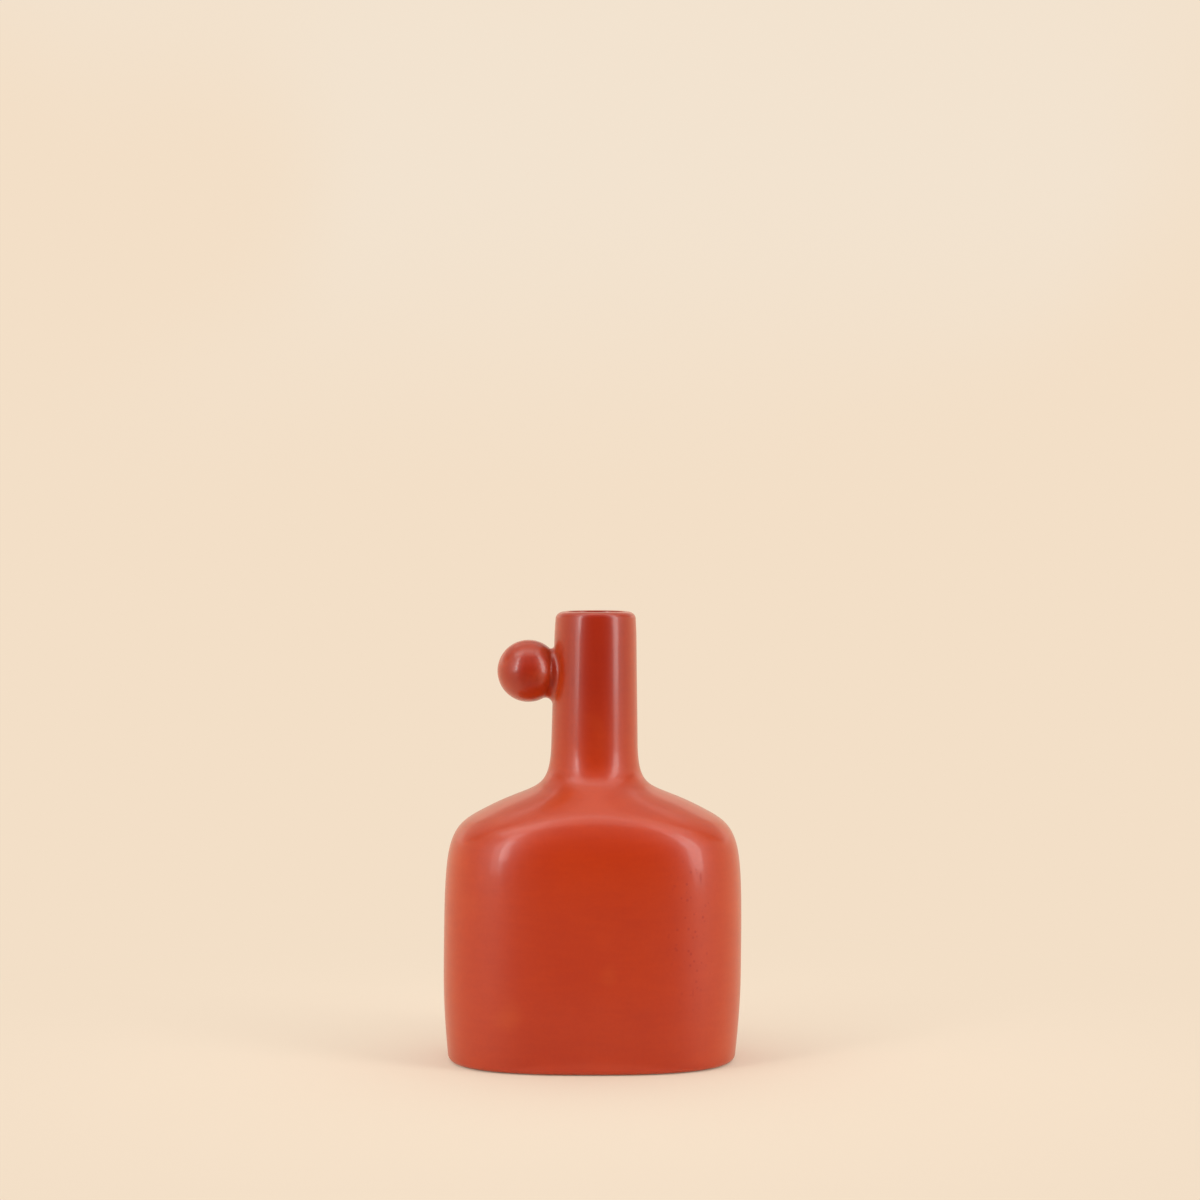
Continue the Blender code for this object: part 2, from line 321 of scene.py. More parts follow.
def make_glazed_wall(material):
    """The glazed outside and inside of body and neck, in one surface from foot to floor."""
    edge_cut = foot_cut(GLAZE_LINE)
    edge = [
        wall_ring(GLAZE_LINE, cut=edge_cut + GLAZE_DEPTH),
        wall_ring(GLAZE_LINE + GLAZE_DEPTH / 2, cut=edge_cut + GLAZE_DEPTH / 4),
    ]
    low = np.linspace(GLAZE_LINE + GLAZE_DEPTH, FOOT_ROUNDING, ARC_STEPS)
    foot = [wall_ring(float(height), cut=foot_cut(float(height))) for height in low]
    levels = ring_heights(FOOT_ROUNDING, HEIGHT - LIP_ROUNDING, OUTER_RINGS)[1:]
    outside = [wall_ring(height, cut=lip_ease(height)) for height in levels]
    rings = edge + foot + outside + lip_rings()[1:] + mouth_rings()[1:] + inside_rings()
    rings = list(reversed(shrunk_rings(rings[0], ARC_STEPS))) + rings
    rings += shrunk_rings(rings[-1], ARC_STEPS)
    mesh = loft(rings, closed=False)
    make_uneven(mesh)
    add_piece("glazed_body_and_neck", mesh, material, "body_glaze", "body_shell", "neck_tube")


def mouth_rings():
    """Rings from the lip's crest over its inner rounding, and down to where the bore is full."""
    start = HEIGHT - LIP_INNER_ROUNDING
    rings = []
    for fall, up in reversed(quarter_turn(ARC_STEPS)):
        height = start + LIP_INNER_ROUNDING * (1.0 - fall)
        rings.append(bore_ring(height, LIP_INNER_ROUNDING * up - LIP_OVERHANG))
    for step in range(1, ARC_STEPS + 1):
        share = step / ARC_STEPS
        height = start - OVERHANG_HEIGHT * share
        rings.append(bore_ring(height, (smooth(share) - 1.0) * LIP_OVERHANG))
    return rings


def inside_rings():
    """Rings down the rest of the bore and the body's inside, to its floor."""
    bore_top = HEIGHT - LIP_INNER_ROUNDING - OVERHANG_HEIGHT
    heights = np.linspace(bore_top, NECK_START, ARC_STEPS)[1:]
    rings = [bore_ring(float(height)) for height in heights]
    floor = FOOT_RECESS + BASE_THICKNESS
    for height in reversed(ring_heights(floor, NECK_START - INSIDE_GAP, INNER_RINGS)):
        open_share = held((NECK_START - height) / (NECK_START - ROUND_FROM))
        rings.append(blended_ring(bore_ring(height), wall_ring(height, inset=WALL), open_share))
    return rings


def lip_rings():
    """Rings over the lip's outer rounding, up to its crest."""
    rings = []
    for step in range(LIP_STEPS + 1):
        angle = math.pi / 2 * step / LIP_STEPS
        pair = []
        for power in (SIDE_LIP_POWER, FRONT_LIP_POWER):
            up, out = math.sin(angle) ** power, max(math.cos(angle), 0.0) ** power
            height = HEIGHT - LIP_ROUNDING * (1.0 - up)
            pair.append(wall_ring(height, cut=LIP_REACH * (1.0 - out) + lip_ease(height)))
        ring = []
        for side, front in zip(*pair):
            share = front.y**2 / ((front.x - axis_at(front.z)) ** 2 + front.y**2)
            ring.append(side.lerp(front, share))
        rings.append(ring)
    return rings


def lip_ease(height):
    """How far the neck eases inwards at a height."""
    share = max(height - LIP_EASE_START, 0.0) / (HEIGHT - LIP_EASE_START)
    return LIP_EASE * share * share


def foot_cut(height):
    """How far the foot's rounding cuts the wall back at a height."""
    left = max(FOOT_ROUNDING - height, 0.0)
    return FOOT_ROUNDING - math.sqrt(FOOT_ROUNDING**2 - left**2)


def uneven_push(place, size):
    """How far a place moves inwards, by slow waves of this size."""
    return UNEVEN_DEPTH * 0.5 * (1.0 + noise.noise(place / size))


def make_uneven(mesh):
    """Moves the wall inwards by slow, slight amounts, as a hand-made wall is uneven."""
    mesh.normal_update()
    for vertex in mesh.verts:
        fade = held((vertex.co.z - FOOT_ROUNDING) / FOOT_ROUNDING)
        vertex.co -= vertex.normal * uneven_push(vertex.co, UNEVEN_SIZE) * fade


def make_bare_foot(material):
    """The unglazed foot rim and the recessed underside."""
    outer = []
    for across, up in quarter_turn(ARC_STEPS):
        height = FOOT_ROUNDING * up
        outer.append(wall_ring(height, cut=FOOT_ROUNDING * across + GLAZE_DEPTH))
    outer.append(wall_ring(FOOT_PIECE_TOP, cut=GLAZE_DEPTH))
    top_cap = shrunk_rings(outer[-1], ARC_STEPS)
    inner = [
        wall_ring(FOOT_INNER_ROUNDING * up, inset=WALL, cut=-FOOT_INNER_ROUNDING * across)
        for across, up in quarter_turn(ARC_STEPS)
    ]
    inner.append(wall_ring(FOOT_RECESS, inset=WALL, cut=FOOT_INNER_ROUNDING))
    underside = shrunk_rings(inner[-1], ARC_STEPS)
    rings = list(reversed(underside)) + list(reversed(inner)) + outer + top_cap
    mesh = loft(rings, closed=False)
    add_piece("bare_foot", mesh, material, "bare_clay", "base_slab")


def neck_reach_at(height):
    return float(np.interp(height, SIDE[:, 1], SIDE[:, 0]))


def ball_centre():
    height = HEIGHT - BALL_DROP
    reach = neck_reach_at(height) + BALL_DIAMETER / 2 - BALL_PRESS
    return Vector((axis_at(height) - reach, 0.0, height))


def make_ball(material):
    """The ball. Its far side lies inside the neck's wall."""
    middle = ball_centre()
    mesh = bmesh.new()
    turned = Matrix.Translation(middle) @ Matrix.Rotation(math.pi / 2, 4, "Y")
    bmesh.ops.create_uvsphere(
        mesh,
        u_segments=BALL_STEPS,
        v_segments=BALL_STEPS // 2,
        radius=BALL_DIAMETER / 2,
        matrix=turned,
    )
    for vertex in mesh.verts:
        inward = (middle - vertex.co).normalized()
        vertex.co += inward * uneven_push(vertex.co, BALL_UNEVEN_SIZE)
    add_piece("glazed_ball", mesh, material, "ball_glaze", "side_ball")


def bead_radius(turn):
    """The bead's radius round the joint: turn is 0 on top and pi underneath."""
    upright = math.cos(turn)
    end = BEAD_RADIUS_ABOVE if upright > 0.0 else BEAD_RADIUS_BELOW
    return BEAD_RADIUS_BESIDE + (end - BEAD_RADIUS_BESIDE) * upright * upright


def rolled_centre(turn, radius, clearance):
    """Where a small ball of this radius rests against both the ball and the neck.

    The joint is looked at along X, and turn picks the direction from the ball's middle. The
    answer is the small ball's centre, and the point of the neck's axis beside it.
    """
    ball = ball_centre()
    sideways, upright = math.sin(turn), math.cos(turn)
    far = BALL_DIAMETER / 2 + clearance + radius
    height = ball.z
    for _ in range(SETTLE_STEPS):
        axis, reach = axis_at(height), neck_reach_at(height) + clearance
        span = axis - ball.x
        square = 1.0 - sideways**2
        rest = span**2 + (sideways * far) ** 2 - (reach + radius) ** 2
        if square > TINY:
            inside = max(span**2 - square * rest, 0.0)
            forward = (span - math.sqrt(inside)) / square
        else:
            forward = rest / (2.0 * span)
        out = math.sqrt(max(far**2 - forward**2, 0.0))
        height = ball.z + out * upright
    centre = Vector((ball.x + forward, out * sideways, height))
    return centre, Vector((axis, 0.0, height))


def bead_section(turn):
    """One slice of the bead: its hollow rounding, closed by a corner sunk into the joint."""
    radius = bead_radius(turn)
    middle, axis = rolled_centre(turn, radius, -BEAD_SETTLE)
    to_ball = (ball_centre() - middle).normalized()
    to_neck = (axis - middle).normalized()
    between = to_ball.angle(to_neck)
    arc = []
    for step in range(BEAD_ARC_STEPS + 1):
        share = step / BEAD_ARC_STEPS
        start = math.sin((1.0 - share) * between) / math.sin(between)
        end = math.sin(share * between) / math.sin(between)
        arc.append(middle + radius * (start * to_ball + end * to_neck))
    crease = rolled_centre(turn, 0.0, -BEAD_SINK)[0]
    near_neck = arc[-1] + to_neck * BEAD_SINK
    near_ball = arc[0] + to_ball * BEAD_SINK
    return arc + [near_neck, crease, near_ball]


def make_bead(material):
    """The bead of slip in the crease round the ball, tangent to ball and neck."""
    slices = [bead_section(2.0 * math.pi * step / BEAD_STEPS) for step in range(BEAD_STEPS)]
    mesh = loft(slices, closed=True)
    add_piece("slip_bead", mesh, material, "bead_glaze", "ball_slip_bead")


# Materials

# The glaze is darker on the neck and the ball, and where it turns away from the camera it is a
# little more orange: a painted sheen at the edges.
BODY_GLAZE = (0.537, 0.0362, 0.0012, 1.0)
NECK_GLAZE = (0.390, 0.0185, 0.0004, 1.0)
EDGE_SHEEN_GLAZE = (0.560, 0.0800, 0.0060, 1.0)
EDGE_SHEEN_POWER = 1.5
# Heights between which the body's glaze goes over into the neck's
NECK_FADE = (110.0 * MM, 158.0 * MM)
# It is thin in a few places, and has pits in one, whose darker colour is painted shade for the
# light the pits lose.
THIN_GLAZE = (0.61, 0.070, 0.008, 1.0)
THIN_SHARE = 0.5
PIT_SHADE_GLAZE = (0.43, 0.020, 0.001, 1.0)
PIT_SHADE_SHARE = 0.9
# Tints that it is multiplied by, from dark to light
CLOUD_TINTS = ((0.980, 0.945, 0.945, 1.0), (1.020, 1.055, 1.055, 1.0))
GRAIN_TINTS = ((0.985, 0.97, 0.97, 1.0), (1.015, 1.03, 1.03, 1.0))
STREAK_TINTS = ((0.986, 0.962, 0.962, 1.0), (1.014, 1.038, 1.038, 1.0))
# Patterns of noise: scale, detail, and the two levels between which a pattern goes from 0 to 1
CLOUD_PATTERN = (55.0, 3.0, 0.30, 0.70)
GRAIN_PATTERN = (700.0, 2.0, 0.25, 0.75)
THIN_PATTERN = (38.0, 1.0, 0.66, 0.80)
STREAK_PATTERN = (70.0, 2.0, 0.30, 0.70)
PIT_PATTERN = (90.0, 1.0, 0.35, 0.60)
# The streaks lie level, and the marks stand upright.
STREAK_SCALE = (1.0, 1.0, 6.0)
MARK_SCALE = (1.0, 1.0, 0.22)
# Spots in the pits' patch: scale of their pattern, and size in it
PINHOLES = (380.0, 0.30)
MARKS = (240.0, 0.16)
SPOT_CORE = 0.4
# The patch is tall, on the right of the front, round this place.
PIT_PLACE = (0.0385, -0.0350, 0.058)
PIT_PATCH_SCALE = (1.0, 1.0, 0.34)
PIT_PATCH_CORE = 0.004
PIT_PATCH_EDGE = 0.015
# Low down, the glaze is duller than on the shoulder and the neck.
LOW_ROUGHNESS = 0.42
HIGH_ROUGHNESS = 0.355
DULL_UP_TO = 0.050
BRIGHT_FROM = 0.088
PIT_ROUGHNESS = 0.15
GLAZE_IOR = 1.5
GLAZE_SPECULAR = 0.49
NECK_GLOSS = 0.42
BODY_GLOSS = 0.29
GLOSS_ROUGHNESS = 0.11
PEEL_DEPTH = 0.018 * MM
PEEL_SCALE = 320.0
FINE_DETAIL = 2.0
CLAY_COLOR = (0.50, 0.30, 0.20, 1.0)
DARK_CLAY_COLOR = (0.40, 0.24, 0.16, 1.0)
CLAY_GRAIN_SCALE = 900.0
CLAY_ROUGHNESS = 0.85


def new_material(name):
    material = bpy.data.materials.new(name)
    material.use_nodes = True
    nodes = material.node_tree.nodes
    return material, nodes, material.node_tree.links, nodes["Principled BSDF"]


def set_or_link(links, sockets, values):
    """Gives each socket its value: a fixed one, or another node's output."""
    for socket, value in zip(sockets, values):
        if isinstance(value, bpy.types.NodeSocket):
            links.new(value, socket)
        else:
            socket.default_value = value


def mixed_color(nodes, links, share, first, second, blend="MIX"):
    mix = nodes.new("ShaderNodeMix")
    mix.data_type = "RGBA"
    mix.blend_type = blend
    set_or_link(links, (mix.inputs["Factor"], mix.inputs[6], mix.inputs[7]), (share, first, second))
    return mix.outputs[2]


def mixed_shader(nodes, links, share, first, second):
    mix = nodes.new("ShaderNodeMixShader")
    set_or_link(links, mix.inputs, (share, first, second))
    return mix.outputs["Shader"]


def computed(nodes, links, operation, first, second):
    """A number worked out from two others."""
    both = nodes.new("ShaderNodeMath")
    both.operation = operation
    set_or_link(links, both.inputs, (first, second))
    return both.outputs["Value"]


def product(nodes, links, first, second):
    return computed(nodes, links, "MULTIPLY", first, second)


def larger(nodes, links, first, second):
    return computed(nodes, links, "MAXIMUM", first, second)


def distance_to(nodes, links, place, point=(0.0, 0.0, 0.0)):
    span = nodes.new("ShaderNodeVectorMath")
    span.operation = "DISTANCE"
    set_or_link(links, span.inputs, (place, point))
    return span.outputs["Value"]


def axes_of(nodes, links, place):
    axes = nodes.new("ShaderNodeSeparateXYZ")
    links.new(place, axes.inputs["Vector"])
    return axes.outputs


def value_range(nodes, links, value, low, high, to_low=0.0, to_high=1.0):
    """A value taken smoothly from one range to another, and held at both ends."""
    span = nodes.new("ShaderNodeMapRange")
    span.interpolation_type = "SMOOTHSTEP"
    span.inputs["From Min"].default_value = low
    span.inputs["From Max"].default_value = high
    span.inputs["To Min"].default_value = to_low
    span.inputs["To Max"].default_value = to_high
    links.new(value, span.inputs["Value"])
    return span.outputs["Result"]


def scaled_place(nodes, links, place, scale):
    mapping = nodes.new("ShaderNodeMapping")
    mapping.inputs["Scale"].default_value = scale
    links.new(place, mapping.inputs["Vector"])
    return mapping.outputs["Vector"]


def noise_value(nodes, links, place, scale, detail):
    texture = nodes.new("ShaderNodeTexNoise")
    texture.inputs["Scale"].default_value = scale
    texture.inputs["Detail"].default_value = detail
    links.new(place, texture.inputs["Vector"])
    return texture.outputs["Fac"]


def pattern_value(nodes, links, place, pattern):
    scale, detail, low, high = pattern
    return value_range(nodes, links, noise_value(nodes, links, place, scale, detail), low, high)


def tinted(nodes, links, color, place, pattern, tints):
    """A colour made a little darker and lighter by a pattern."""
    share = pattern_value(nodes, links, place, pattern)
    tint = mixed_color(nodes, links, share, *tints)
    return mixed_color(nodes, links, 1.0, color, tint, "MULTIPLY")


def spots(nodes, links, place, scale, size, mask):
    """One in small round spots scattered at random, only where the mask lets them be."""
    cells = nodes.new("ShaderNodeTexVoronoi")
    cells.inputs["Scale"].default_value = scale
    links.new(place, cells.inputs["Vector"])
    reach = cells.outputs["Distance"]
    spot = value_range(nodes, links, reach, size * SPOT_CORE, size, 1.0, 0.0)
    return product(nodes, links, spot, mask)


def pit_value(nodes, links, place):
    """One in the glaze's pits: pinholes and upright marks, in one uneven patch."""
    scaled = scaled_place(nodes, links, place, PIT_PATCH_SCALE)
    middle = [a * b for a, b in zip(PIT_PLACE, PIT_PATCH_SCALE)]
    reach = distance_to(nodes, links, scaled, middle)
    patch = value_range(nodes, links, reach, PIT_PATCH_CORE, PIT_PATCH_EDGE, 1.0, 0.0)
    patch = product(nodes, links, patch, pattern_value(nodes, links, place, PIT_PATTERN))
    pinholes = spots(nodes, links, place, *PINHOLES, patch)
    tall = scaled_place(nodes, links, place, MARK_SCALE)
    return larger(nodes, links, pinholes, spots(nodes, links, tall, *MARKS, patch))


def make_glaze():
    material, nodes, links, shader = new_material("red_satin_glaze")
    place = nodes.new("ShaderNodeTexCoord").outputs["Object"]
    height = axes_of(nodes, links, place)["Z"]
    pits = pit_value(nodes, links, place)

    neck = value_range(nodes, links, height, *NECK_FADE)
    color = mixed_color(nodes, links, neck, BODY_GLAZE, NECK_GLAZE)
    # Painted sheen: the colour turns lighter and more orange as the surface turns away from the
    # camera.
    facing = nodes.new("ShaderNodeLayerWeight").outputs["Facing"]
    turned = computed(nodes, links, "POWER", facing, EDGE_SHEEN_POWER)
    color = mixed_color(nodes, links, turned, color, EDGE_SHEEN_GLAZE)
    color = tinted(nodes, links, color, place, CLOUD_PATTERN, CLOUD_TINTS)
    color = tinted(nodes, links, color, place, GRAIN_PATTERN, GRAIN_TINTS)
    thin = product(nodes, links, pattern_value(nodes, links, place, THIN_PATTERN), THIN_SHARE)
    color = mixed_color(nodes, links, thin, color, THIN_GLAZE)
    level = scaled_place(nodes, links, place, STREAK_SCALE)
    color = tinted(nodes, links, color, level, STREAK_PATTERN, STREAK_TINTS)
    # Painted shade in the pits: their colour is darkened.
    color = mixed_color(nodes, links, product(nodes, links, pits, PIT_SHADE_SHARE), color, PIT_SHADE_GLAZE)
    links.new(color, shader.inputs["Base Color"])

    ends = (DULL_UP_TO, BRIGHT_FROM, LOW_ROUGHNESS, HIGH_ROUGHNESS)
    dull = value_range(nodes, links, height, *ends)
    rough = computed(nodes, links, "ADD", dull, product(nodes, links, pits, PIT_ROUGHNESS))
    links.new(rough, shader.inputs["Roughness"])
    peel = nodes.new("ShaderNodeBump")
    peel.inputs["Distance"].default_value = PEEL_DEPTH
    links.new(noise_value(nodes, links, place, PEEL_SCALE, FINE_DETAIL), peel.inputs["Height"])
    links.new(peel.outputs["Normal"], shader.inputs["Normal"])
    shader.inputs["IOR"].default_value = GLAZE_IOR
    shader.inputs["Specular IOR Level"].default_value = GLAZE_SPECULAR
    gloss = value_range(nodes, links, height, *NECK_FADE, BODY_GLOSS, NECK_GLOSS)
    whole = value_range(nodes, links, pits, 0.0, 1.0, 1.0, 0.0)
    links.new(product(nodes, links, gloss, whole), shader.inputs["Coat Weight"])
    shader.inputs["Coat Roughness"].default_value = GLOSS_ROUGHNESS
    return material


def make_clay():
    material, nodes, links, shader = new_material("bare_clay")
    place = nodes.new("ShaderNodeTexCoord").outputs["Object"]
    grain = noise_value(nodes, links, place, CLAY_GRAIN_SCALE, FINE_DETAIL)
    color = mixed_color(nodes, links, grain, DARK_CLAY_COLOR, CLAY_COLOR)
    links.new(color, shader.inputs["Base Color"])
    shader.inputs["Roughness"].default_value = CLAY_ROUGHNESS
    return material


# Stage: pale paper. Near the vase it takes light and shadow, and further off it fades into a
# backdrop of its own colour, which the glaze reflects as well.

BACKDROP_COLOR = (0.896, 0.738, 0.571, 1.0)
PAPER_COLOR = (0.873, 0.720, 0.558, 1.0)
# High up, the backdrop is a little cooler, in broad and faint clouds. They set in between two
# directions, given by how far up they point.
HIGH_BACKDROP_COLOR = (0.893, 0.768, 0.625, 1.0)
COOL_RISE = (0.0, 0.13)
COOL_PATTERN = (5.0, 1.0, 0.36, 0.60)
PAPER_RADIUS = 6.0
PAPER_STEPS = 96
# Distances from the middle. The fade's start is below 0, so it is under way at the foot already.
PAPER_FADE = (-0.10, 0.34)


def seen_share(nodes, links):
    """One for a ray that sees the backdrop: from the camera, or by way of gloss or glass."""
    path = nodes.new("ShaderNodeLightPath").outputs
    direct = larger(nodes, links, path["Is Camera Ray"], path["Is Glossy Ray"])
    return larger(nodes, links, direct, path["Is Transmission Ray"])


def make_paper():
    material, nodes, links, shader = new_material("cream_paper")
    shader.inputs["Base Color"].default_value = PAPER_COLOR
    shader.inputs["Roughness"].default_value = 1.0
    shader.inputs["Specular IOR Level"].default_value = 0.0
    place = nodes.new("ShaderNodeTexCoord").outputs["Object"]
    fade = value_range(nodes, links, distance_to(nodes, links, place), *PAPER_FADE)
    share = product(nodes, links, fade, seen_share(nodes, links))
    glow = nodes.new("ShaderNodeEmission")
    glow.inputs["Color"].default_value = BACKDROP_COLOR
    face = mixed_shader(nodes, links, share, shader.outputs["BSDF"], glow.outputs["Emission"])
    links.new(face, nodes["Material Output"].inputs["Surface"])
    return material


def make_floor(material):
    mesh = bmesh.new()
    bmesh.ops.create_circle(mesh, cap_ends=True, segments=PAPER_STEPS, radius=PAPER_RADIUS)
    floor = add_object("paper_floor", mesh, material)


# Flags: the dim room on the camera's side, which the glaze reflects but the camera does not see.
# Directions are an azimuth from the camera's side, towards +X, and an elevation, as seen from the
# vase's middle.

AIM = Vector((0.0, 0.0, 0.09))
FLAG_BANDS = (
    ("dim_room_flag", -3.0, 12.0, 0.01),
    ("dim_middle_flag", 12.0, 30.0, 0.11),
    ("dim_upper_flag", 30.0, 62.0, 0.28),
)
FLAG_LEFT = -44.0
FLAG_RIGHT = 52.0
FLAG_DISTANCE = 1.7
FLAG_STEPS = 24
# The floor's flag: its grey near the vase and far from it, and the distances between which it fades
NEAR_FLAG_GREY = 0.21
FAR_FLAG_GREY = 0.02
FLAG_FADE = (0.08, 0.30)
FLAG_NEAR = 0.05
FLAG_LIFT = 2.0 * MM
# It fades out at its sides, between each two of these azimuths.
FLOOR_FLAG_LEFT = (-55.0, -26.0)
FLOOR_FLAG_RIGHT = (33.0, 60.0)
CEILING_GREY = 0.08
CEILING_TILTS = (98.0, 150.0)
CEILING_ROLL = 60.0


def direction(azimuth, elevation):
    turn, tilt = math.radians(azimuth), math.radians(elevation)
    level = math.cos(tilt)
    return Vector((math.sin(turn) * level, -math.cos(turn) * level, math.sin(tilt)))


def overhead(tilt, roll):
    """A direction tilted from the camera's side up and over, and rolled towards +X."""
    tilt, roll = math.radians(tilt), math.radians(roll)
    level = math.cos(roll)
    return Vector((math.sin(roll), -math.cos(tilt) * level, math.sin(tilt) * level))


def grey(level):
    return (level, level, level, 1.0)


def make_flag(name, rows, near, far, soft_sides=False):
    """A glowing sheet through rows of points: one grey near the vase, another far from it."""
    mesh = bmesh.new()
    rows = [[mesh.verts.new(point) for point in row] for row in rows]
    for low, high in zip(rows, rows[1:]):
        for step in range(len(low) - 1):
            mesh.faces.new((low[step], low[step + 1], high[step + 1], high[step]))
    material, nodes, links, _ = new_material(name)
    place = nodes.new("ShaderNodeTexCoord").outputs["Object"]
    fade = value_range(nodes, links, distance_to(nodes, links, place), *FLAG_FADE)
    glow = nodes.new("ShaderNodeEmission")
    links.new(mixed_color(nodes, links, fade, grey(near), grey(far)), glow.inputs["Color"])
    face = glow.outputs["Emission"]
    if soft_sides:
        clear = nodes.new("ShaderNodeBsdfTransparent").outputs["BSDF"]
        face = mixed_shader(nodes, links, side_share(nodes, links, place), clear, face)
    links.new(face, nodes["Material Output"].inputs["Surface"])
    flag = add_object(name, mesh, material)
    flag.visible_camera = False
    return flag


def side_share(nodes, links, place):
    """How solid the floor's flag is: it fades out towards both of its sides."""
    axes = axes_of(nodes, links, place)
    ahead = product(nodes, links, axes["Y"], -1.0)
    turn = computed(nodes, links, "ARCTAN2", axes["X"], ahead)
    left = [math.radians(azimuth) for azimuth in FLOOR_FLAG_LEFT]
    right = [math.radians(azimuth) for azimuth in FLOOR_FLAG_RIGHT]
    from_left = value_range(nodes, links, turn, *left)
    to_right = value_range(nodes, links, turn, *right, 1.0, 0.0)
    return product(nodes, links, from_left, to_right)


def make_flags():
    turns = np.linspace(FLAG_LEFT, FLAG_RIGHT, FLAG_STEPS)
    for name, low, high, level in FLAG_BANDS:
        wall = []
        for tilt in np.linspace(low, high, FLAG_STEPS):
            wall.append([AIM + FLAG_DISTANCE * direction(turn, tilt) for turn in turns])
        make_flag(name, wall, level, level)
    turns = np.linspace(FLOOR_FLAG_LEFT[0], FLOOR_FLAG_RIGHT[1], FLAG_STEPS)
    floor = []
    for reach in (FLAG_NEAR, FLAG_DISTANCE):
        row = [reach * direction(turn, 0.0) for turn in turns]
        floor.append([Vector((point.x, point.y, FLAG_LIFT)) for point in row])
    low = make_flag("dim_floor_flag", floor, NEAR_FLAG_GREY, FAR_FLAG_GREY, soft_sides=True)
    rolls = np.linspace(-CEILING_ROLL, CEILING_ROLL, FLAG_STEPS)
    ceiling = []
    for tilt in np.linspace(*CEILING_TILTS, FLAG_STEPS):
        ceiling.append([AIM + FLAG_DISTANCE * overhead(tilt, roll) for roll in rolls])
    high = make_flag("dim_ceiling_flag", ceiling, CEILING_GREY, CEILING_GREY)
    for flag in (low, high):
        flag.visible_shadow = False
        flag.visible_diffuse = False


def spanned(low, high, distance):
    """How wide a panel is that spans two angles, in degrees, at a distance."""
    return 2.0 * distance * math.tan(math.radians(high - low) / 2)


def add_light(name, middle, side, distance, width, height, radiance):
    """A white panel that faces the vase from a direction, its width along the side given."""
    lamp = bpy.data.lights.new(name, "AREA")
    lamp.shape = "RECTANGLE"
    lamp.size = width
    lamp.size_y = height
    lamp.energy = math.pi * width * height * radiance
    light = bpy.data.objects.new(name, lamp)
    bpy.context.scene.collection.objects.link(light)
    turn = Matrix((side, middle.cross(side), middle)).transposed()
    light.location = AIM + middle * distance
    light.rotation_euler = turn.to_euler()


# Upright panels: azimuths, and then elevations with the radiance between each two
PANE_DISTANCE = 1.3
PANE_ROWS = (-4.0, 1.0, 7.0, 18.0, 34.0, 50.0, 66.0)
PANES = (
    (-57.0, -49.0, (0.0, 2.52, 2.15, 2.29, 3.60, 1.0)),
    (-49.0, -45.0, (0.0, 4.61, 10.91, 10.6, 5.2, 1.2)),
    (-45.0, -41.0, (0.0, 0.48, 6.60, 5.2, 1.2, 0.0)),
    (50.0, 54.0, (0.03, 3.08, 5.1, 7.4, 5.4, 3.2)),
    (54.0, 62.0, (2.06, 5.53, 4.46, 4.60, 3.0, 0.8)),
    (62.0, 66.0, (1.99, 6.68, 6.57, 6.54, 8.21, 4.06)),
)
# Dim panels beside these, and behind the vase: azimuths, elevations, radiance
SIDE_DISTANCE = 1.5
SIDE_LIGHTS = (
    (-75.0, -57.0, -4.0, 28.0, 0.29),
    (-75.0, -57.0, 28.0, 60.0, 0.29),
    (66.0, 84.0, -4.0, 28.0, 0.14),
    (66.0, 84.0, 28.0, 60.0, 0.14),
    (-150.0, -112.0, 10.0, 55.0, 0.41),
    (117.0, 150.0, 10.0, 55.0, 0.35),
    (152.0, 208.0, 20.0, 60.0, 0.31),
)
# Overhead panels: tilt from the camera's side up and over, roll towards +X, radiance
TOP_LIGHTS = (
    (62.0, 70.0, -40.0, -15.0, 0.60),
    (62.0, 70.0, -15.0, 15.0, 0.62),
    (70.0, 78.0, -40.0, -15.0, 1.71),
    (70.0, 78.0, -15.0, 15.0, 0.68),
    (70.0, 78.0, 15.0, 40.0, 0.20),
    (78.0, 86.0, -40.0, -15.0, 2.47),
    (78.0, 86.0, -15.0, 15.0, 1.71),
    (78.0, 86.0, 15.0, 40.0, 1.03),
    (86.0, 98.0, -40.0, -15.0, 0.55),
    (86.0, 98.0, -15.0, 15.0, 0.45),
    (86.0, 98.0, 15.0, 40.0, 0.84),
    (98.0, 130.0, -35.0, 35.0, 0.43),
)
ROOM_COLOR = (1.0, 1.0, 1.0, 1.0)
ROOM_LIGHT = 0.53


def add_side_light(name, left, right, low, high, distance, radiance):
    middle = direction((left + right) / 2, (low + high) / 2)
    side = Vector((-middle.y, middle.x, 0.0)).normalized()
    width = spanned(left, right, distance) * math.hypot(middle.x, middle.y)
    add_light(name, middle, side, distance, width, spanned(low, high, distance), radiance)


def add_top_light(name, near, far, left, right, radiance):
    tilt, roll = (near + far) / 2, (left + right) / 2
    middle = overhead(tilt, roll)
    side = overhead(tilt, roll + 90.0)
    width, height = spanned(left, right, SIDE_DISTANCE), spanned(near, far, SIDE_DISTANCE)
    add_light(name, middle, side, SIDE_DISTANCE, width, height, radiance)


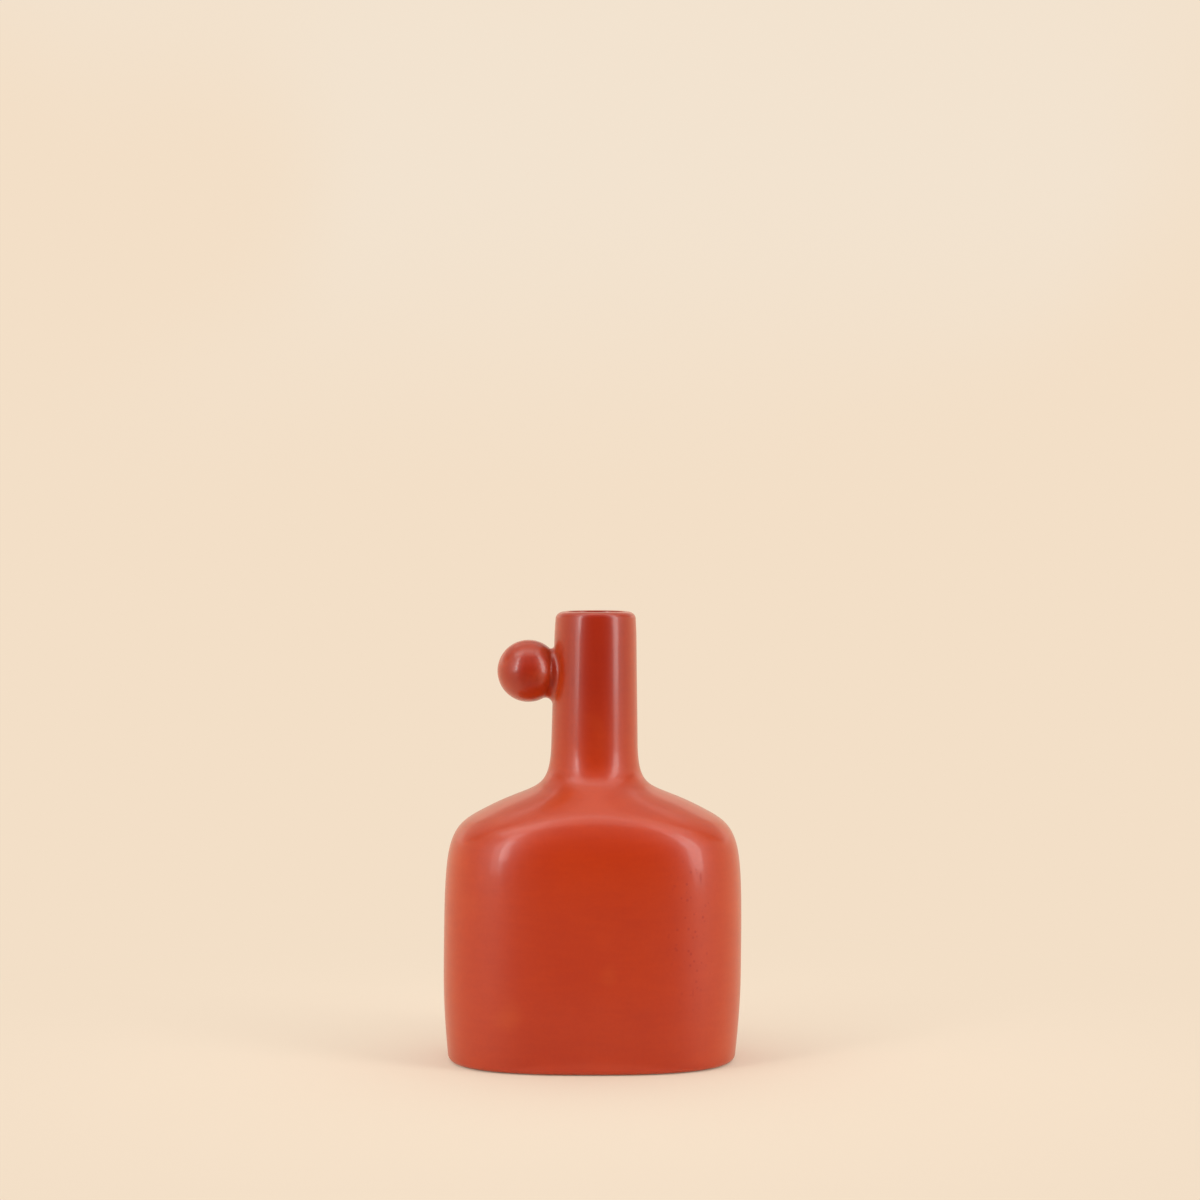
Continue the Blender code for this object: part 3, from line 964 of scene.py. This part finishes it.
def make_lights():
    for left, right, levels in PANES:
        for low, high, radiance in zip(PANE_ROWS, PANE_ROWS[1:], levels):
            if radiance > 0.0:
                name = "pane_%d_%d" % (left, low)
                add_side_light(name, left, right, low, high, PANE_DISTANCE, radiance)
    for left, right, low, high, radiance in SIDE_LIGHTS:
        name = "side_%d_%d" % (left, low)
        add_side_light(name, left, right, low, high, SIDE_DISTANCE, radiance)
    for near, far, left, right, radiance in TOP_LIGHTS:
        add_top_light("top_%d_%d" % (near, left), near, far, left, right, radiance)


def make_room():
    """The world: even light for the vase, and the backdrop for every ray that sees it."""
    world = bpy.data.worlds.new("room")
    world.use_nodes = True
    bpy.context.scene.world = world
    nodes, links = world.node_tree.nodes, world.node_tree.links
    room = nodes["Background"]
    room.inputs["Color"].default_value = ROOM_COLOR
    room.inputs["Strength"].default_value = ROOM_LIGHT
    toward = nodes.new("ShaderNodeTexCoord").outputs["Generated"]
    cool = value_range(nodes, links, axes_of(nodes, links, toward)["Z"], *COOL_RISE)
    cool = product(nodes, links, cool, pattern_value(nodes, links, toward, COOL_PATTERN))
    tone = mixed_color(nodes, links, cool, BACKDROP_COLOR, HIGH_BACKDROP_COLOR)
    backdrop = nodes.new("ShaderNodeBackground")
    links.new(tone, backdrop.inputs["Color"])
    lit, seen = room.outputs["Background"], backdrop.outputs["Background"]
    face = mixed_shader(nodes, links, seen_share(nodes, links), lit, seen)
    links.new(face, nodes["World Output"].inputs["Surface"])


# Camera

CAMERA_DISTANCE = 1.12
CAMERA_HEIGHT = 0.2152
CAMERA_SIDE = 0.0031
CAMERA_TILT = math.radians(1.57)
SENSOR = 36.0
LENS = 83.58


def make_camera():
    data = bpy.data.cameras.new("camera")
    data.sensor_width = SENSOR
    data.lens = LENS
    camera = bpy.data.objects.new("camera", data)
    bpy.context.scene.collection.objects.link(camera)
    camera.location = (CAMERA_SIDE, -CAMERA_DISTANCE, CAMERA_HEIGHT)
    camera.rotation_euler = (math.pi / 2 - CAMERA_TILT, 0.0, 0.0)
    bpy.context.scene.camera = camera


def main():
    glaze = make_glaze()
    make_glazed_wall(glaze)
    make_bare_foot(make_clay())
    make_ball(glaze)
    make_bead(glaze)
    make_floor(make_paper())
    make_flags()
    make_lights()
    make_room()
    make_camera()
    bpy.context.scene.view_settings.view_transform = "Standard"


main()
